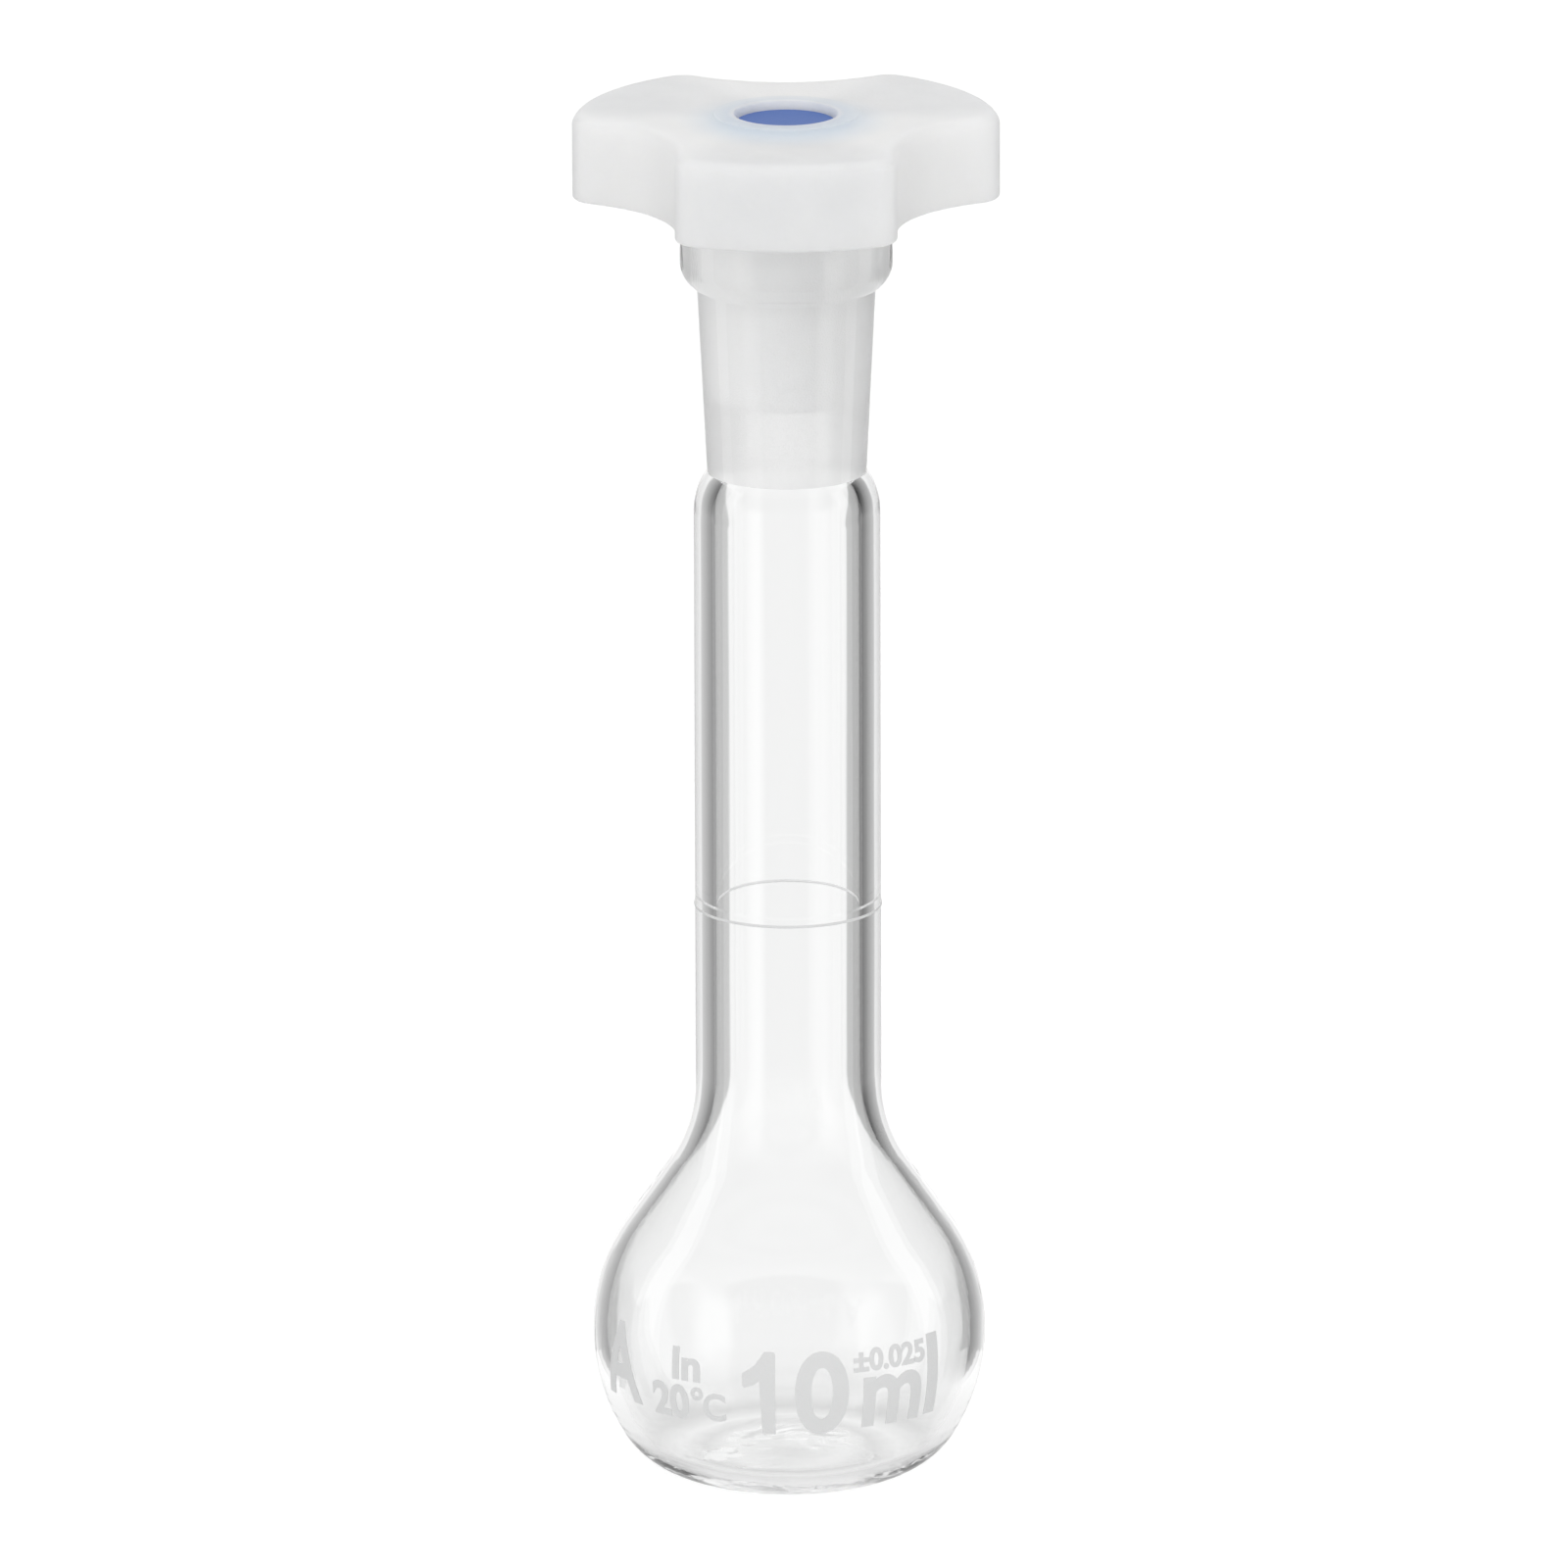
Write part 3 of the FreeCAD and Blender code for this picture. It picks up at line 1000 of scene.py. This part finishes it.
def glow_material(name):
    """A material that only glows, and short ways to add nodes and links to it."""
    material = bpy.data.materials.new(name)
    material.use_nodes = True
    nodes, links = material.node_tree.nodes, material.node_tree.links
    nodes.remove(nodes["Principled BSDF"])
    glow = nodes.new("ShaderNodeEmission")
    links.new(glow.outputs["Emission"], nodes["Material Output"].inputs["Surface"])
    return material, nodes, links, glow


def only_in_glass(panel):
    """Shows a panel in glass and gloss alone; it neither lights, shades nor shows itself."""
    panel.visible_camera = False
    panel.visible_diffuse = False
    panel.visible_shadow = False
    panel.visible_volume_scatter = False


# What the glass shows, as pairs of a place and the brightness there.
# Behind the flask, by degrees to the side: white in the middle, and darker to both sides.
BACK_SHADES = ((0, 1.0), (14.6, 1.0), (16.2, 0.64), (30, 0.48), (40, 0.38), (50, 0.31), (75, 0.29))

# Before it, by degrees to the side: a dim room with a tall window to the left and one to the right.
FRONT_SHADES = (
    (-85, 0.35), (-62, 0.35), (-54, 0.95), (-37, 0.95), (-31, 0.3),
    (39, 0.3), (44, 0.95), (60, 0.95), (70, 0.35), (85, 0.35),
)

# Under it, by the distance from its axis: a table with soft rings of shade.
TABLE_SHADES = (
    (0, 0.68), (4 * MM, 0.84), (6 * MM, 0.62), (8 * MM, 0.86),
    (11 * MM, 0.68), (14 * MM, 0.86), (24 * MM, 1.0),
)


def screen(stage, name, radius, reach, low, high):
    """A sheet bent round the flask, behind it, or before it where the radius is negative."""
    shape = bmesh.new()
    columns = []
    for step in range(SCREEN_STEPS + 1):
        turn = reach * (2 * step / SCREEN_STEPS - 1)
        side, away = abs(radius) * math.sin(turn), radius * math.cos(turn)
        columns.append([shape.verts.new((side, away, height)) for height in (low, high)])
    for (start, top), (next_start, next_top) in zip(columns, columns[1:]):
        shape.faces.new((start, next_start, next_top, top))
    panel = mesh_object(name, shape)
    panel.parent = bpy.context.scene.camera
    panel.location = (0, 0, -stage.camera_distance)
    panel.rotation_euler.x = stage.camera_elevation - math.pi / 2
    only_in_glass(panel)
    return panel


def screen_places(nodes, links):
    """The angle to the side, in degrees, and the height of a place on a screen."""
    x, y, height = own_place(nodes, links)
    turn = math_of(nodes, links, "ARCTAN2", x, math_of(nodes, links, "ABSOLUTE", y, 0))
    return math_of(nodes, links, "DEGREES", turn, 0), height


def darkness(nodes, links, place, shades):
    """How dark a stage piece is at a place, from pairs of a place and the brightness there."""
    first, last = shades[0][0], shades[-1][0]
    ramp = nodes.new("ShaderNodeValToRGB")
    while len(ramp.color_ramp.elements) < len(shades):
        ramp.color_ramp.elements.new(1.0)
    for element, (stop, level) in zip(ramp.color_ramp.elements, shades):
        element.position = (stop - first) / (last - first)
        element.color = (1 - level, 1 - level, 1 - level, 1)
    links.new(ramp_of(nodes, links, place, first, last, 0, 1), ramp.inputs["Fac"])
    return ramp.outputs["Color"]


def show_darkness(nodes, links, glow, factors):
    """Lets a screen glow as white less a product of factors, and as plain white to scattered light."""
    path = nodes.new("ShaderNodeLightPath")
    dark = ramp_of(nodes, links, path.outputs["Diffuse Depth"], 0, 1, 1, 0)
    for factor in factors:
        dark = math_of(nodes, links, "MULTIPLY", dark, factor)
    links.new(math_of(nodes, links, "SUBTRACT", 1.0, dark), glow.inputs["Strength"])


def back_screen(stage):
    panel = screen(stage, "back_screen", 1.0, math.radians(BACK_SHADES[-1][0]), -0.6, 1.2)
    material, nodes, links, glow = glow_material("back_screen")
    turn, height = screen_places(nodes, links)
    widening = ramp_of(nodes, links, height, -0.27, 0.2, 0, 9)
    aside = math_of(nodes, links, "SUBTRACT", math_of(nodes, links, "ABSOLUTE", turn, 0), widening)
    deeper = ramp_of(nodes, links, height, -0.25, 0.2, 1.0, 1.35)
    right_side = ramp_of(nodes, links, turn, -11, 11, 1.0, 1.15)
    table = ramp_of(nodes, links, height, -0.56, -0.37, 0.0, 1.0, smooth=True)
    sides = darkness(nodes, links, aside, BACK_SHADES)
    show_darkness(nodes, links, glow, (sides, deeper, right_side, table))
    panel.data.materials.append(material)


def front_screen(stage):
    panel = screen(stage, "front_screen", -0.3, math.radians(FRONT_SHADES[-1][0]), -0.26, 0.9)
    material, nodes, links, glow = glow_material("front_screen")
    turn, height = screen_places(nodes, links)
    wall = ramp_of(nodes, links, height, 0.06, 0.16, 0, 0.9, smooth=True)
    room = math_of(nodes, links, "MAXIMUM", darkness(nodes, links, turn, FRONT_SHADES), wall)
    table = ramp_of(nodes, links, height, -0.26, -0.16, 0, 1, smooth=True)
    ceiling = ramp_of(nodes, links, height, 0.35, 0.5, 1, 0.3, smooth=True)
    show_darkness(nodes, links, glow, (room, table, ceiling))
    panel.data.materials.append(material)


def table_shade():
    """The soft shade on the table under the flask, which only the glass shows."""
    width = 2 * TABLE_SHADES[-1][0]
    panel = sheet_mesh("table_shade", width, width)
    panel.location.z = -0.04 * MM
    only_in_glass(panel)
    material, nodes, links, glow = glow_material("table_shade")
    place = nodes.new("ShaderNodeTexCoord")
    far = nodes.new("ShaderNodeVectorMath")
    far.operation = "LENGTH"
    links.new(place.outputs["Object"], far.inputs[0])
    show_darkness(nodes, links, glow, (darkness(nodes, links, far.outputs["Value"], TABLE_SHADES),))
    panel.data.materials.append(material)


def soft_lamp(name, size, place, power):
    """A square soft lamp that points at the middle of the flask."""
    flask_middle = Vector((0, 0, 60 * MM))
    lamp = bpy.data.lights.new(name, "AREA")
    lamp.size = size
    lamp.energy = power
    holder = new_object(name, lamp)
    holder.location = place
    holder.visible_glossy = False
    holder.visible_transmission = False
    holder.rotation_euler = (flask_middle - Vector(place)).to_track_quat("-Z", "Y").to_euler()


def long_light_paths(cycles):
    """Lets light turn often enough inside the thick base of the glass to come out again."""
    cycles.max_bounces = 64
    cycles.transmission_bounces = 64
    cycles.glossy_bounces = 64
    cycles.diffuse_bounces = 8


def photo_camera(stage):
    camera = bpy.data.cameras.new("camera")
    camera.sensor_width = 36
    camera.lens = camera.sensor_width * stage.camera_distance / stage.frame_width
    camera.clip_start = 0.05
    camera.clip_end = 20
    holder = new_object("camera", camera)
    bpy.context.scene.camera = holder
    tilt = math.pi / 2 - stage.camera_elevation
    turn = Euler((tilt, 0, 0)).to_matrix() @ Matrix.Rotation(stage.camera_roll, 3, "Z")
    target = Vector((0, 0, stage.target_height))
    sideways = Vector((-0.261 * MM, -0.206 * MM, stage.camera_distance))
    holder.matrix_world = Matrix.Translation(target + turn @ sideways) @ turn.to_4x4()


class FLASK_OT_stage(bpy.types.Operator):
    """Set up the camera, lamps, floor and backdrop"""

    bl_idname = "flask.stage"
    bl_label = "Stage"

    def execute(self, context):
        stage = context.scene.flask_stage
        context.scene.view_settings.view_transform = "Standard"
        long_light_paths(context.scene.cycles)
        photo_camera(stage)
        white_world(stage)
        white_floor()
        back_screen(stage)
        front_screen(stage)
        table_shade()
        soft_lamp("key_lamp", 0.6, (-0.6, -0.8, 0.45), 2.7)
        soft_lamp("fill_lamp", 0.6, (0.75, -0.7, 0.3), 2.0)
        soft_lamp("top_lamp", 0.5, (0.0, 0.1, 0.9), 0.7)
        return {"FINISHED"}


class FLASK_PT_panel(bpy.types.Panel):
    """Sizes, colours and build steps of the flask"""

    bl_idname = "FLASK_PT_panel"
    bl_label = "Volumetric flask"
    bl_space_type = "VIEW_3D"
    bl_region_type = "UI"
    bl_category = "Flask"

    def draw(self, context):
        for operator in OPERATORS:
            self.layout.operator(operator.bl_idname)
        for name in SETTINGS:
            settings = getattr(context.scene, name)
            box = self.layout.box()
            for key in settings.bl_rna.properties.keys():
                if key not in ("rna_type", "name"):
                    box.prop(settings, key)


SETTINGS = {
    "flask_glass": FlaskGlass,
    "flask_enamel": FlaskEnamel,
    "flask_stopper": FlaskStopper,
    "flask_stage": FlaskStage,
}
OPERATORS = (
    FLASK_OT_glass,
    FLASK_OT_enamel_line,
    FLASK_OT_enamel_print,
    FLASK_OT_stopper,
    FLASK_OT_disc,
    FLASK_OT_stage,
)


def register():
    for kind in (*SETTINGS.values(), *OPERATORS, FLASK_PT_panel):
        bpy.utils.register_class(kind)
    for name, kind in SETTINGS.items():
        setattr(bpy.types.Scene, name, bpy.props.PointerProperty(type=kind))


def unregister():
    for name in SETTINGS:
        delattr(bpy.types.Scene, name)
    for kind in reversed((*SETTINGS.values(), *OPERATORS, FLASK_PT_panel)):
        bpy.utils.unregister_class(kind)


def main():
    register()
    bpy.ops.flask.glass()
    bpy.ops.flask.enamel_line()
    bpy.ops.flask.enamel_print()
    bpy.ops.flask.stopper()
    bpy.ops.flask.disc()
    bpy.ops.flask.stage()


if __name__ == "__main__":
    main()
